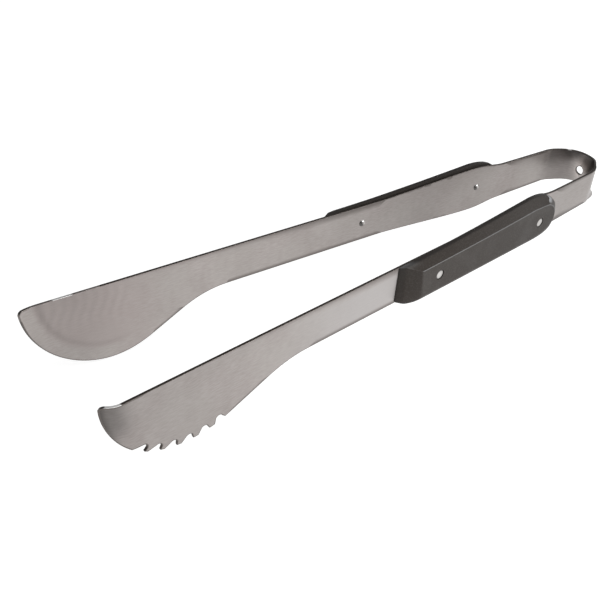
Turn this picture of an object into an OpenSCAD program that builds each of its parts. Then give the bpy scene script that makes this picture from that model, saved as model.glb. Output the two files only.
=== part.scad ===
// Spring loaded kitchen tongs. One bent steel strip makes both arms and the spring bow.
// Each arm carries a moulded handle scale on its outer face, held by two rivets.
// Origin: centre of the hang hole, in the middle of the strip wall. +X points away from the
// blades, +Z runs across the strip, and the plain arm is on the +Y side.

/* [Strip] */
// Thickness of the steel strip
strip_t = 1.6; // [1.2:0.1:2.2]
// Width of the strip between handle and blade
strip_w = 25; // [20:0.5:32]
// Width of the strip between bow and handle
rear_w = 24.5; // [19:0.5:30]
// Length of each arm, from the end of the bow to the blade tip
arm_len = 392; // [320:0.1:480]

/* [Spring bow] */
// Radius of the bow at the middle of the strip wall
bow_r = 19.7; // [15:0.1:26]
// Angle between each arm and the middle plane at rest
splay_deg = 3.78; // [2:0.01:6]
// Diameter of the hang hole in the bow
hang_hole_d = 6; // [4:0.5:10]

/* [Blade tips] */
// Length of the blade end that curls inwards
curl_len = 10; // [7:0.5:11]
// Radius of the upper front corner of each blade
corner_r = 2.5; // [1:0.5:5]

/* [Plain blade] */
// How far the plain blade's belly hangs below the strip
plain_drop = 24.7; // [15:0.1:32]
// Radius of the belly
plain_belly_r = 49.4; // [40:0.1:60]
// Radius of the front edge
plain_front_r = 54; // [50:0.1:75]
// Angle from straight down at which the belly passes into the front edge
plain_join_deg = 30; // [20:1:45]
// Slope of the edge between neck and belly
plain_flank_deg = 28.8; // [20:0.1:35]
// Radius of the neck fillet
plain_neck_r = 59; // [30:1:80]
// Radius of the plain blade's curl at the middle of the strip wall
plain_curl_r = 27; // [14:0.5:40]

/* [Serrated blade] */
// How far the serrated blade's belly hangs below the strip
saw_drop = 20.9; // [13:0.1:28]
// Radius of the belly that the tooth tips lie on
saw_belly_r = 57.1; // [48:0.1:68]
// Radius of the front edge
saw_front_r = 41; // [38:0.1:55]
// Angle from straight down at which the belly passes into the front edge
saw_join_deg = 37; // [30:1:50]
// Slope of the edge between neck and belly
saw_flank_deg = 22.5; // [16:0.1:30]
// Radius of the neck fillet
saw_neck_r = 73; // [30:1:90]
// Radius of the serrated blade's curl at the middle of the strip wall
saw_curl_r = 12; // [12:0.5:40]
// Number of teeth
tooth_count = 6; // [4:1:6]
// Distance between tooth tips, along the belly
tooth_pitch = 10.3; // [9.4:0.1:11]
// Distance of the last tooth from the end of the belly
tooth_inset = 2.6; // [2:0.1:6]
// Radius of the gullet at the root of each notch
gullet_r = 2.2; // [1.6:0.1:2.5]
// Depth of the gullet's centre inside the belly edge
gullet_depth = 2.1; // [1.5:0.1:2.6]
// Distance of the first gullet's centre from its tooth, towards the tip
gullet_first = 1.9; // [1.6:0.1:2.4]
// How much further that centre lies on each later tooth
gullet_step = 0.3; // [0.1:0.05:0.4]
// Width of the first notch at the belly edge
mouth_first = 8.6; // [7.5:0.1:8.8]
// How much narrower each later notch is
mouth_step = 0.35; // [0.2:0.05:0.5]

/* [Handle] */
// Distance from the end of the bow to the rear end of the handle
handle_start = 46.5; // [40:0.5:60]
// Length of the handle
handle_len = 150.5; // [120:0.5:170]
// Thickness of the handle scale
handle_t = 8; // [6:0.5:12]
// Height of the square wall below the upper bevel
handle_wall = 2.6; // [1:0.1:3.5]
// Height of the square wall at the front end
front_wall = 0.5; // [0.3:0.1:0.9]
// Height of the square wall round the rear end
rear_wall = 4.6; // [3:0.1:5]
// Distance from the rear end to the widest place
swell_at = 29.5; // [24:0.5:40]
// Rise of the handle's upper edge at the widest place
swell_top = 5.6; // [3:0.1:8]
// Drop of the handle's lower edge at the widest place
swell_bottom = 4.2; // [2:0.1:7]
// Height of the flat face's upper edge above the middle of the strip, at the front
face_up = 8.9; // [6:0.1:10]
// Depth of the flat face's lower edge below the middle of the strip
face_down = 9.8; // [6:0.1:11]
// Radius of the rounding along the handle's lower edge
low_round = 4; // [2:0.1:5]
// Rise of the flat face's upper edge at the widest place
face_rise = 3.5; // [1:0.1:4.5]
// Length of the slope at the front end
slope_front = 12.5; // [8:0.5:18]
// Length of the slope round the rear end
slope_rear = 5; // [3:0.5:8]

/* [Tang] */
// Rise of the strip's upper edge under the widest place of the handle
tang_top = 3; // [1:0.1:5]
// Drop of the strip's lower edge under the widest place of the handle
tang_bottom = 4.2; // [1:0.1:5]
// Extra depth of the rear strip's lower edge where it runs into the tang
rear_taper = 1.65; // [0.3:0.05:2.2]
// Distance from the widest place to where the tang starts, towards the blade
tang_lead = 74; // [50:1:90]

/* [Rivets] */
// Distance from the rear end of the handle to the rear rivet
rivet_rear = 21; // [16:0.5:30]
// Distance between the two rivets
rivet_gap = 100; // [70:0.5:110]
// Diameter of the rivet head
rivet_head_d = 6.4; // [5:0.1:8]
// Thickness of the rivet head
rivet_head_t = 1.6; // [1:0.1:2.5]
// Depth of the head below the face of the handle
rivet_sink = 0.3; // [0.1:0.1:0.8]
// Diameter of the rivet shank
rivet_d = 4; // [3:0.1:4.5]
// Diameter of the domed tail on the inner face of the strip
tail_d = 4.8; // [4.6:0.1:6.5]
// Height of the domed tail
tail_h = 1.1; // [0.6:0.1:1.8]
// Radial clearance of each rivet in its holes
rivet_clear = 0.05; // [0.02:0.01:0.1]

/* [Hidden] */
$fn = 96;

steel = "#a8a09a";
charcoal = "#4b4846";
rivet_steel = "#c9c6c2";

arc_step = 3;          // degrees between two points of a blade outline
curve_steps = 10;      // points along each flowing edge of tang and handle
bevel_steps = 4;       // levels between the square wall and the flat face
corner_steps = 5;      // points from the widest place to the bevel's rear corner
end_steps = 10;        // points from that corner round to the rear end
search_step = 0.5;     // degrees between two tries for that corner
round_power = 2.3;     // squareness of the handle's rear end, where 2 is an ellipse
low_power = 5;         // the same for its lower half at the strip
spare = 5;             // how far a cutting shape reaches past what it cuts

mouth_lift = 0.35;      // height of a notch's front corner inside the belly edge

tang_shift = 5;        // how far the tang's crest and rear end lie behind the handle's
tang_ease = 0.47;      // share of the tang's front slope with a gentle start
tang_lift = 0.4;       // share of its rise that is reached within that start
crest_ease = 0.26;     // share of the front slope that levels out at the crest
rear_ease = 0.42;      // share of the rear slope that levels out at either end

edge_ease = 0.39;      // share of a handle edge with a gentle start at the front
swell_ease = 0.2;      // share of it that levels out at the swell
swell_start = 0.16;    // share of the swell's rise at the first guide point
swell_end = 0.72;      // share of the swell's rise at the second guide point
ridge_start = 0.11;    // the same two shares for the flat face's upper edge
ridge_end = 0.6;
ridge_fall = 1.8;      // how far that edge comes down again towards the rear end
bevel_turn = 33;       // where round the rear end the bevel's upper line runs straight on, in degrees
rear_drop = 4.3;       // how much lower the rear slope's top is at the flat face
waist = 0.8;           // how much the flat face narrows at its lower front corner
round_limit = 0.9;     // share of the depth above the square wall that the lower rounding can take

top_z = strip_w / 2;
low_z = -strip_w / 2;
outer_y = strip_t / 2;
inner_y = -strip_t / 2;
curl_start = arm_len - curl_len;
handle_end = handle_start + handle_len;
swell_s = handle_start + swell_at;
low_r = min(low_round, (handle_t - handle_wall) * round_limit);
rivet_places = [handle_start + rivet_rear, handle_start + rivet_rear + rivet_gap];

// ---- Curves -------------------------------------------------------------

// Points on an arc, from angle a to angle b in degrees
function arc(centre, r, a, b) =
    let (n = ceil(abs(b - a) / arc_step))
    [for (i = [0:n]) centre + r * [cos(a + (b - a) * i / n), sin(a + (b - a) * i / n)]];

// One point on a cubic curve with four control points
function cubic(p, t) =
    pow(1 - t, 3) * p[0] + 3 * t * pow(1 - t, 2) * p[1]
    + 3 * t * t * (1 - t) * p[2] + pow(t, 3) * p[3];

function cubic_path(p, n) = [for (i = [0:n]) cubic(p, i / n)];

function reversed(list) = [for (i = [len(list) - 1:-1:0]) list[i]];

function flipped(list) = [for (p = list) [p.x, -p.y]];

// ---- Blade outlines, with x along the arm and y across the strip --------

// Centre of the belly arc, then centre of the front arc, which meets the top edge at the tip
function blade_centres(drop, belly_r, front_r, join_deg) =
    let (belly_y = low_z - drop + belly_r)
    let (front_y = belly_y + (front_r - belly_r) * cos(join_deg))
    let (front_x = arm_len - sqrt(pow(front_r, 2) - pow(top_z - front_y, 2)))
    [[front_x + (front_r - belly_r) * sin(join_deg), belly_y], [front_x, front_y]];

// The lower edge from the neck to the tip, then the rounded upper corner
function blade_edge(drop, belly_r, front_r, join_deg, flank_deg, neck_r) =
    let (centres = blade_centres(drop, belly_r, front_r, join_deg))
    let (flank_end = centres[0] - belly_r * [sin(flank_deg), cos(flank_deg)])
    let (flank_start = flank_end.x - (low_z - flank_end.y) / tan(flank_deg))
    let (neck = [flank_start - neck_r * tan(flank_deg / 2), low_z - neck_r])
    let (corner_y = top_z - corner_r)
    let (lift = asin((corner_y - centres[1].y) / front_r))
    let (corner_x = centres[1].x + front_r * cos(lift) - corner_r)
    concat(
        arc(neck, neck_r, 90, 90 - flank_deg),
        arc(centres[0], belly_r, -90 - flank_deg, -90 + join_deg),
        arc(centres[1], front_r, -90 + join_deg, lift),
        arc([corner_x, corner_y], corner_r, 0, 90)
    );

// One edge of the tang, from the front strip over the swell to the rear strip
function tang_edge(rise, taper) =
    let (front = [swell_s + tang_lead, strip_w / 2])
    let (crest = [swell_s - tang_shift, strip_w / 2 + rise])
    let (rear = [handle_start - tang_shift, rear_w / 2 + taper])
    let (slope = [(crest.x - rear.x) * rear_ease, 0])
    concat(
        cubic_path([front, front + [-tang_ease * tang_lead, tang_lift * rise],
                    crest + [crest_ease * tang_lead, 0], crest], curve_steps),
        cubic_path([crest, crest - slope, rear + slope, rear], curve_steps)
    );

module arm_outline(blade) {
    polygon(concat(
        [[0, -rear_w / 2]],
        reversed(flipped(tang_edge(tang_bottom, rear_taper))),
        blade,
        tang_edge(tang_top, 0),
        [[0, rear_w / 2]]
    ));
}

// One notch in front of the tooth with this number, counted from the tip
module notch(number) {
    centre = blade_centres(saw_drop, saw_belly_r, saw_front_r, saw_join_deg)[0];
    along = tooth_inset + (tooth_count - 1 - number) * tooth_pitch;
    turn = -saw_flank_deg + along / saw_belly_r * 180 / PI;
    gullet = [gullet_first + number * gullet_step, gullet_depth];
    mouth = mouth_first - number * mouth_step;
    translate(centre) rotate(turn) translate([0, -saw_belly_r]) {
        translate(gullet) circle(gullet_r);
        polygon([[0, -spare], [0, 0], gullet - [gullet_r, 0], gullet,
                 gullet + gullet_r * [cos(45), sin(45)],
                 [mouth, mouth_lift], [mouth + 1, -spare]]);
    }
}

module plain_outline() {
    arm_outline(blade_edge(plain_drop, plain_belly_r, plain_front_r, plain_join_deg,
                           plain_flank_deg, plain_neck_r));
}

module serrated_outline() {
    difference() {
        arm_outline(blade_edge(saw_drop, saw_belly_r, saw_front_r, saw_join_deg,
                               saw_flank_deg, saw_neck_r));
        for (number = [0:tooth_count - 1]) notch(number);
    }
}

// ---- Placing ------------------------------------------------------------

// Arm frame: x from the end of the bow to the tip, y outwards from the strip wall, z across
module near_side() {
    translate([-bow_r, 0, 0]) rotate([0, 0, 180 + splay_deg]) translate([0, bow_r, 0]) children();
}

module far_side() {
    mirror([0, 1, 0]) near_side() children();
}

// Turns a flat outline to stand in the arm frame, from y = from to y = to
module upright(from, to) {
    translate([0, to, 0]) rotate([90, 0, 0]) linear_extrude(to - from) children();
}

// ---- Steel --------------------------------------------------------------

// The strip wall seen from above: straight along the arm, then curled inwards
module bent_wall(curl_r) {
    translate([0, inner_y]) square([curl_start, strip_t]);
    translate([curl_start, -curl_r]) intersection() {
        difference() {
            circle(curl_r + strip_t / 2);
            circle(curl_r - strip_t / 2);
        }
        square([curl_len + strip_t, curl_r + strip_t]);
    }
}

// A whole arm in the arm frame, cut from the bent wall by its outline and drilled for the rivets
module strip_arm(curl_r) {
    reach = strip_w + max(plain_drop, saw_drop);
    difference() {
        intersection() {
            translate([0, 0, -reach]) linear_extrude(2 * reach) bent_wall(curl_r);
            upright(inner_y - curl_len - spare, outer_y + spare) children();
        }
        for (place = rivet_places)
            translate([place, spare, 0]) rotate([90, 0, 0])
                cylinder(r = rivet_d / 2 + rivet_clear, h = 2 * spare);
    }
}

module spring_bow() {
    turn = 180 - 2 * splay_deg;
    color(steel) difference() {
        translate([-bow_r, 0, -rear_w / 2]) rotate(-turn / 2) rotate_extrude(angle = turn)
            translate([bow_r - strip_t / 2, 0]) square([strip_t, rear_w]);
        translate([-spare, 0, 0]) rotate([0, 90, 0]) cylinder(d = hang_hole_d, h = 2 * spare);
    }
}

module near_arm() {
    color(steel) near_side() strip_arm(saw_curl_r) serrated_outline();
}

module far_arm() {
    color(steel) far_side() strip_arm(plain_curl_r) plain_outline();
}

// ---- Handle scales ------------------------------------------------------

function mixed(a, b, part) = a + part * (b - a);

// How far a level is on its way from a wall's height to the flat face
function rise_from(wall, level) = max(0, (level - wall) / (handle_t - wall));

// An edge that flows from the front to the widest place, through two guide points
function flowing(front_x, heights) =
    let (reach = front_x - swell_s)
    cubic_path([[front_x, heights[0]], [front_x - edge_ease * reach, heights[1]],
                [swell_s + swell_ease * reach, heights[2]], [swell_s, heights[3]]],
               curve_steps);

// A point round the rear end, between the widest place and the rear
function rear_point(level, height, power, turn) =
    let (inset = slope_rear * rise_from(rear_wall, level))
    [swell_s - (swell_s - handle_start - inset) * pow(sin(turn), 2 / power),
     height * pow(cos(turn), 2 / power)];

function upper_rear(level, turn) =
    rear_point(level, top_z + swell_top - rear_drop * rise_from(handle_wall, level), round_power, turn);

// The bevel's upper and lower line, each as x against height
wall_line =
    let (before = upper_rear(0, bevel_turn - search_step))
    let (last = upper_rear(0, bevel_turn))
    let (slope = (last - before) / (before.x - last.x))
    concat(flowing(handle_end, [for (share = [0, swell_start, swell_end, 1]) top_z + swell_top * share]),
           [for (i = [1:corner_steps]) upper_rear(0, bevel_turn * i / corner_steps)],
           [last + slope * (last.x - handle_start)]);
ridge_line =
    concat(flowing(handle_end, [for (share = [0, ridge_start, ridge_end, 1]) face_up + face_rise * share]),
           [[handle_start, face_up + face_rise - ridge_fall]]);

function bevel_height(level, x) =
    mixed(lookup(x, wall_line), lookup(x, ridge_line), rise_from(handle_wall, level));

// How far round the rear end the bevel reaches at a level, in degrees
function corner_turn(level) =
    max([for (turn = [0:search_step:89])
        let (p = upper_rear(level, turn))
        if (p.y >= bevel_height(level, p.x) - 0.001) turn]);

// Upper edge of a level from front to rear: bevel, corner, rear slope
function upper_edge(level) =
    let (front_x = handle_end - slope_front * rise_from(front_wall, level))
    let (turn = corner_turn(level))
    let (corner_x = upper_rear(level, turn).x)
    concat([for (i = [0:curve_steps])
                let (x = mixed(front_x, swell_s, i / curve_steps)) [x, bevel_height(level, x)]],
           [for (i = [1:corner_steps])
                let (x = mixed(swell_s, corner_x, i / corner_steps)) [x, bevel_height(level, x)]],
           [for (i = [1:end_steps]) upper_rear(level, mixed(turn, 90, i / end_steps))]);

// Lower edge of a level, as heights below the middle: square wall, rounding, face
function lower_edge(level) =
    let (front_x = handle_end - slope_front * rise_from(front_wall, level))
    let (belly_y = handle_t - low_r)
    let (base = [for (drop = [0, 0, swell_bottom, swell_bottom]) top_z + drop])
    let (face = [face_down - waist, face_down, face_down, face_down])
    let (bulge = sqrt(pow(low_r, 2) - pow(max(0, level - belly_y), 2)))
    let (share = min(1, max(0, (level - handle_wall) / (belly_y - handle_wall))))
    let (heights = mixed(base, [for (z = face) z + bulge], share))
    let (power = mixed(low_power, round_power, rise_from(rear_wall, level)))
    let (steps = corner_steps + end_steps)
    concat(flowing(front_x, heights),
           [for (i = [1:steps]) rear_point(level, heights[3], power, 90 * i / steps)]);

// Closed outline of a level, whose two edges share their rear end
function scale_loop(level) =
    let (low = lower_edge(level))
    concat(upper_edge(level), [for (i = [len(low) - 2:-1:0]) [low[i].x, -low[i].y]]);

module scale_body() {
    levels = concat([0, front_wall],
                    [for (k = [0:bevel_steps]) mixed(handle_wall, handle_t, k / bevel_steps)]);
    rings = [for (level = levels) scale_loop(level)];
    last = curve_steps + corner_steps + end_steps;
    top = len(levels) - 1;
    n = len(rings[0]);
    points = [for (k = [0:top], p = rings[k]) [p.x, levels[k], p.y]];
    sides = [for (k = [0:top - 1], i = [0:n - 1], half_quad = [0, 1])
        let (a = k * n + i)
        let (b = k * n + (i + 1) % n)
        half_quad == 0 ? [a, b, b + n] : [a, b + n, a + n]];
    cap = concat([for (i = [0:last - 1]) [i, i + 1, n - 1 - i]],
                 [for (i = [0:last - 2]) [i + 1, n - 2 - i, n - 1 - i]]);
    polyhedron(points, concat([for (f = cap) [f[2], f[1], f[0]]], sides,
                              [for (f = cap) f + top * n * [1, 1, 1]]));
}

// A scale in the arm frame, seated on the strip's outer face and bored for the rivets
module handle_scale() {
    seat_depth = rivet_sink + rivet_head_t;
    translate([0, outer_y, 0]) difference() {
        scale_body();
        for (place = rivet_places) translate([place, 0, 0]) rotate([-90, 0, 0]) {
            translate([0, 0, -1]) cylinder(r = rivet_d / 2 + rivet_clear, h = handle_t + 2);
            translate([0, 0, handle_t - seat_depth])
                cylinder(r = rivet_head_d / 2 + rivet_clear, h = seat_depth + 1);
        }
    }
}

module near_handle_scale() {
    color(charcoal) near_side() handle_scale();
}

module far_handle_scale() {
    color(charcoal) far_side() handle_scale();
}

// ---- Rivets -------------------------------------------------------------

// A rivet in the arm frame: domed tail on the strip, shank, and flat head in the scale
module rivet(place) {
    head_top = strip_t + handle_t - rivet_sink;
    head_low = head_top - rivet_head_t;
    dome_r = (pow(tail_d / 2, 2) + pow(tail_h, 2)) / (2 * tail_h);
    translate([place, inner_y, 0]) rotate([-90, 0, 0]) {
        cylinder(d = rivet_d, h = head_low);
        translate([0, 0, head_low]) cylinder(d = rivet_head_d, h = rivet_head_t);
        intersection() {
            translate([0, 0, dome_r - tail_h]) sphere(dome_r);
            translate([0, 0, -tail_h - 1]) cylinder(d = tail_d + 2, h = tail_h + 1);
        }
    }
}

module near_rear_rivet() {
    color(rivet_steel) near_side() rivet(rivet_places[0]);
}

module near_front_rivet() {
    color(rivet_steel) near_side() rivet(rivet_places[1]);
}

module far_rear_rivet() {
    color(rivet_steel) far_side() rivet(rivet_places[0]);
}

module far_front_rivet() {
    color(rivet_steel) far_side() rivet(rivet_places[1]);
}

spring_bow();
near_arm();
far_arm();
near_handle_scale();
far_handle_scale();
near_rear_rivet();
near_front_rivet();
far_rear_rivet();
far_front_rivet();
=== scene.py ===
import math

import bpy
import numpy as np
from mathutils import Matrix, Vector
from mathutils.geometry import delaunay_2d_cdt


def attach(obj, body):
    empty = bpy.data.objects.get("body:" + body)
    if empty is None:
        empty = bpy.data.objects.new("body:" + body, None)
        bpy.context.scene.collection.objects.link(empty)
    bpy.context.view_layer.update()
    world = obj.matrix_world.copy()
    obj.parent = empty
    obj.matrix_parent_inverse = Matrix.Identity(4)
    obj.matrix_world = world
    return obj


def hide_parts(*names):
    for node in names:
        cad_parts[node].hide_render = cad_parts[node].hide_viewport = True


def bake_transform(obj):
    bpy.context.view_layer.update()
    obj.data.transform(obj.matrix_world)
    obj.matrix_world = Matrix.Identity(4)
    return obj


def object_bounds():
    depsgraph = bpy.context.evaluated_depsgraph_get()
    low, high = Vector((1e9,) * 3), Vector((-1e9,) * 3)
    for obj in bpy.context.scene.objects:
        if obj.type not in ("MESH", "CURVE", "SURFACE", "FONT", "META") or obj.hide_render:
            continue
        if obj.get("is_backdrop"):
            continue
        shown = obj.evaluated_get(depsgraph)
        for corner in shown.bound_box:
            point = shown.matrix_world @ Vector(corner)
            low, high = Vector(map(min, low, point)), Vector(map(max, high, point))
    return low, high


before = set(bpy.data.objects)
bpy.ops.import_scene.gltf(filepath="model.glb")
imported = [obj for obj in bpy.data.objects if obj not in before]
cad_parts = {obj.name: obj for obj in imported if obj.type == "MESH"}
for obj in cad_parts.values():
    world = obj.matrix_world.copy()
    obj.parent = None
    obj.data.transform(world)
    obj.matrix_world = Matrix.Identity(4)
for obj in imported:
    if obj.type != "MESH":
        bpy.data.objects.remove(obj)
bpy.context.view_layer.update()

mm = 0.001  # every length below is in millimetres, and becomes metres where a mesh is made
samePoint = 0.02  # points of a path that are closer than this are one

# The steel strip as it lies flat: u runs from the bow's apex (negative) over the tangent point (0)
# to the blade tip, v runs across the strip, and n stands off the middle of its wall, outwards.
strip = {
    "wall": 1.6,
    "width": 25.0,
    "rearWidth": 24.5,
    "armLength": 392.0,
    "bowRadius": 19.7,
    "splay": math.radians(3.78),
    "curlLength": 10.0,
    "cornerRadius": 2.5,
    "holeRadius": 3.0,
    "edgeRound": 0.22,
    "spreadTop": 2.4,  # how far the bow's upper rim spreads outwards at the apex
    "spreadLow": 5.0,
    "spreadPower": 2.3,
    "rimWidth": 0.9,  # how far the painted shade line along each edge reaches over the face
    "fineFrom": 340.0,  # where the upper edge starts to have points close together
    "bowStep": 1.2,
    "seamReach": 11.0,  # points along the apex line, where the two halves meet
    "seamStep": 1.6,
    "sharpTurn": math.radians(28),  # a corner that turns more than this keeps two normals
    "leastMitre": 0.35,
}
topV, rearV = strip["width"] / 2, strip["rearWidth"] / 2
halfWall = strip["wall"] / 2
apexU = -strip["bowRadius"] * (math.pi / 2 - strip["splay"])

stripGrid = {
    # The points over the strip's faces: from u, to u, step along, step across
    "bands": ((apexU, 9, 1.3, 1.6), (9, 300, 9.0, 5.0), (300, 330, 4.0, 4.0), (330, 394, 1.5, 1.5)),
    "drop": 26,  # how far they reach past the lower edge and the upper one
    "rise": 5,
    "clear": 0.6,  # their gap to the rim
}

handle = {
    "start": 46.5,
    "length": 150.5,
    "thick": 8.0,
    "wall": 2.6,
    "frontWall": 0.5,
    "rearWall": 4.6,
    "swellAt": 29.5,
    "swellTop": 5.6,
    "swellLow": 4.2,
    "swellShape": (0, 0.16, 0.72, 1),  # heights of the flowing edges' four control points
    "ridgeShape": (0, 0.11, 0.6, 1),
    "flow": (0.39, 0.2),  # how far the two between reach from the front and from the widest place
    "faceUp": 8.9,
    "faceRise": 3.5,
    "faceDown": 9.8,
    "lowRound": 4.0,
    "slopeFront": 12.5,
    "slopeRear": 5.0,
    "ridgeFall": 1.8,
    "rearDrop": 4.3,
    "bevelTurn": 33.0,  # degrees round the rear end where the bevel's upper line runs straight on
    "power": 2.3,  # squareness of the rear end, where 2 is an ellipse
    "lowPower": 5.0,
    "waist": 0.2,
    "wallSwell": 0.9,  # how much lower than the strip the wall's rim reaches at the front
    "lowShift": ((0.5, 0), (3.5, 1.3), (8, -2.2)),  # how far the slope's lower corner lies ahead, by level
    "wallRound": 0.22,  # rounding between the square wall and the bevel
    "faceRound": 0.3,  # how far below the flat face the rounding of its edges starts
    "frontRound": 0.9,  # that rounding as a length along the face
    "topRound": 0.45,
    "rearRound": 0.4,
    "topCorner": 1.1,  # rounding of the two front corners
    "lowCorner": 2.6,
    "edgeSteps": 40,
    "cornerSteps": 12,
    "endSteps": 20,
    # strength of the painted highlight along the ridge
    "ridgeHighlight": 0.28,
    # painted shade: the plastic darker towards the rear end and, by wallShade, on the upper wall
    "tone": ((46, 0.74), (80, 0.84), (150, 1.0), (197, 1.04)),
    "wallShade": 0.4,
    "grid": ((50, 190, 4.0), (-12, 14, 4.0)),  # points over the flat face: from, to, step, each way
    "gridClear": 1.2,  # their gap to the edge, and to the rivets' seats
    "seatGap": 1.0,
}
handleEnd = handle["start"] + handle["length"]
swellU = handle["start"] + handle["swellAt"]

rivet = {
    "rear": 21.0,
    "gap": 100.0,
    "headRadius": 3.2,
    "headThick": 1.6,
    "headRound": 0.45,
    # The head's face from its middle outwards: share of the radius, dip, painted shade
    "headFace": ((0, 0.024, 0), (0.35, 0.018, 0), (0.62, 0, 0), (0.76, 0, 0.3)),
    "sink": 0.3,
    "shankRadius": 2.0,
    "tailRadius": 2.4,
    "tailHeight": 1.1,
    "tailSteps": 8,
    "darkTurn": math.radians(-35),  # side of each tail with painted shade, as a turn from the tip's direction
    "segments": 40,
    "seatClear": 0.05,
    # The seat in the scale from its rim inwards: how much wider than the bore, how deep, tilt of the normal
    "seat": ((0.18, 0, 90), (0.05, 0.05, 45), (0, 0.18, 0), (0, 0.9, 0)),
}
rivetPlaces = [handle["start"] + rivet["rear"], handle["start"] + rivet["rear"] + rivet["gap"]]


def smooth(value):
    value = np.clip(value, 0, 1)
    return value * value * (3 - 2 * value)


def ramp(value, start, end):
    # From 0 at start to 1 at end, eased; end may be the smaller of the two
    return smooth((value - start) / (end - start))


def readOff(table, value):
    # The value at a place in a table of (place, value) pairs
    return np.interp(value, *zip(*table))


def mix(a, b, part):
    return a + (b - a) * part


def unit(vectors):
    return vectors / np.maximum(np.linalg.norm(vectors, axis=-1, keepdims=True), 1e-12)


def cubic(points, count):
    a, b, c, d = (np.array(p, float) for p in points)
    t = np.linspace(0, 1, count + 1)[:, None]
    return (1 - t) ** 3 * a + 3 * t * (1 - t) ** 2 * b + 3 * t * t * (1 - t) * c + t ** 3 * d


def quadratic(a, b, c, t):
    return (1 - t) ** 2 * a + 2 * t * (1 - t) * b + t * t * c


def arc(centre, radius, start, end, step):
    count = max(2, math.ceil(abs(end - start) * radius / step))
    turn = np.linspace(start, end, count + 1)
    return np.array(centre) + radius * np.stack([np.cos(turn), np.sin(turn)], 1)


def joined(*paths):
    # Paths end to end, with points that lie on the one before left out
    points = [np.asarray(paths[0][0], float)]
    for path in paths:
        for p in np.asarray(path, float):
            if np.linalg.norm(p - points[-1]) > samePoint:
                points.append(p)
    if np.linalg.norm(points[0] - points[-1]) < samePoint:
        points.pop()
    return np.array(points)


def toWorld(points, side):
    # From the arm's frame (x to the tip, y outwards, z across) to the shared one; side is 1 near, -1 far
    cosine, sine = math.cos(strip["splay"]), math.sin(strip["splay"])
    x, y = points[..., 0], points[..., 1] + strip["bowRadius"]
    return np.stack([-x * cosine + y * sine - strip["bowRadius"],
                     side * (-x * sine - y * cosine), points[..., 2]], -1)


def placed(name, data):
    piece = bpy.data.objects.new(name, data)
    bpy.context.scene.collection.objects.link(piece)
    return piece


def buildMesh(name, points, faces, attributes, material):
    mesh = bpy.data.meshes.new(name)
    mesh.from_pydata((points * mm).tolist(), [], faces)
    mesh.shade_smooth()
    for label, values in attributes.items():
        values = np.asarray(values, np.float32)
        kind, field = ("FLOAT_VECTOR", "vector") if values.ndim == 2 else ("FLOAT", "value")
        mesh.attributes.new(label, kind, "POINT").data.foreach_set(field, values.ravel())
    mesh.materials.append(material)
    print("built", name, len(points), "points", len(faces), "faces")
    return placed(name, mesh)


def buildSmooth(name, points, faces, normals, attributes, material):
    # normals has a vector for each corner of each face, and turns the faces to agree with it
    at = 0
    for number, f in enumerate(faces):
        a, b, c = points[f[:3]]
        own = slice(at, at + len(f))
        if np.dot(np.cross(b - a, c - a), normals[own].sum(0)) < 0:
            faces[number], normals[own] = f[::-1], normals[own][::-1].copy()
        at += len(f)
    piece = buildMesh(name, points, faces, attributes, material)
    piece.data.normals_split_custom_set(unit(normals).tolist())
    return piece


def filled(loops, inner=()):
    # Triangles inside the first loop and outside the others, with the inner points used too
    points = [Vector(p) for loop in [*loops, inner] for p in loop]
    edges, start = [], 0
    for loop in loops:
        edges += [(start + i, start + (i + 1) % len(loop)) for i in range(len(loop))]
        start += len(loop)
    leaveHoles = 2  # the way of filling that keeps holes open
    verts, _, triangles, source, _, _ = delaunay_2d_cdt(points, edges, [], leaveHoles, 1e-5)
    centres = np.array(verts)[np.array(triangles)].mean(1)
    keep = inside(centres, loops[0])
    for hole in loops[1:]:
        keep &= ~inside(centres, hole)
    given = [origins[0] if origins else None for origins in source]
    return [[given[i] for i in t] for t, good in zip(triangles, keep) if good]


def inside(points, loop):
    a = np.asarray(loop, float)
    b = np.roll(a, -1, 0)
    x, y = points[:, :1], points[:, 1:2]
    crosses = (a[:, 1] > y) != (b[:, 1] > y)
    step = np.where(b[:, 1] == a[:, 1], 1, b[:, 1] - a[:, 1])
    at = a[:, 0] + (y - a[:, 1]) / step * (b[:, 0] - a[:, 0])
    return ((crosses & (x < at)).sum(1) % 2).astype(bool)


def nearLoop(points, loop, gap):
    # True for points closer than gap to the loop
    a = np.asarray(loop, float)
    along = np.roll(a, -1, 0) - a
    reach = np.maximum((along ** 2).sum(1), 1e-9)
    off = points[:, None] - a
    t = np.clip((off * along).sum(2) / reach, 0, 1)
    return (np.linalg.norm(off - t[..., None] * along, axis=2) < gap).any(1)


def quads(rings, count, first=0):
    # The faces between neighbouring rings of points, which have count points each
    faces = []
    for k in range(rings - 1):
        for i in range(count):
            a, b = first + k * count + i, first + k * count + (i + 1) % count
            faces.append([a, a + count, b + count, b])
    return faces


def gridOf(us, vs):
    return np.stack(np.meshgrid(us, vs), -1).reshape(-1, 2)


def newGroup(name, values, outputs):
    # A shader group with a Vector input, number inputs with their values, and number outputs
    group = bpy.data.node_groups.new(name, "ShaderNodeTree")
    group.interface.new_socket("Vector", in_out="INPUT", socket_type="NodeSocketVector")
    for label, value in values.items():
        group.interface.new_socket(label, in_out="INPUT", socket_type="NodeSocketFloat").default_value = value
    for label in outputs:
        group.interface.new_socket(label, in_out="OUTPUT", socket_type="NodeSocketFloat")
    return group, group.nodes.new("NodeGroupInput"), group.nodes.new("NodeGroupOutput")


def setInputs(tree, node, **inputs):
    # Inputs are given by name, with _ for a space, or as i0, i1 and so on; each is a value or a socket
    for key, value in inputs.items():
        byNumber = key[0] == "i" and key[1:].isdigit()
        socket = node.inputs[int(key[1:]) if byNumber else key.replace("_", " ")]
        if isinstance(value, bpy.types.NodeSocket):
            tree.links.new(value, socket)
        else:
            socket.default_value = value
    return node


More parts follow.
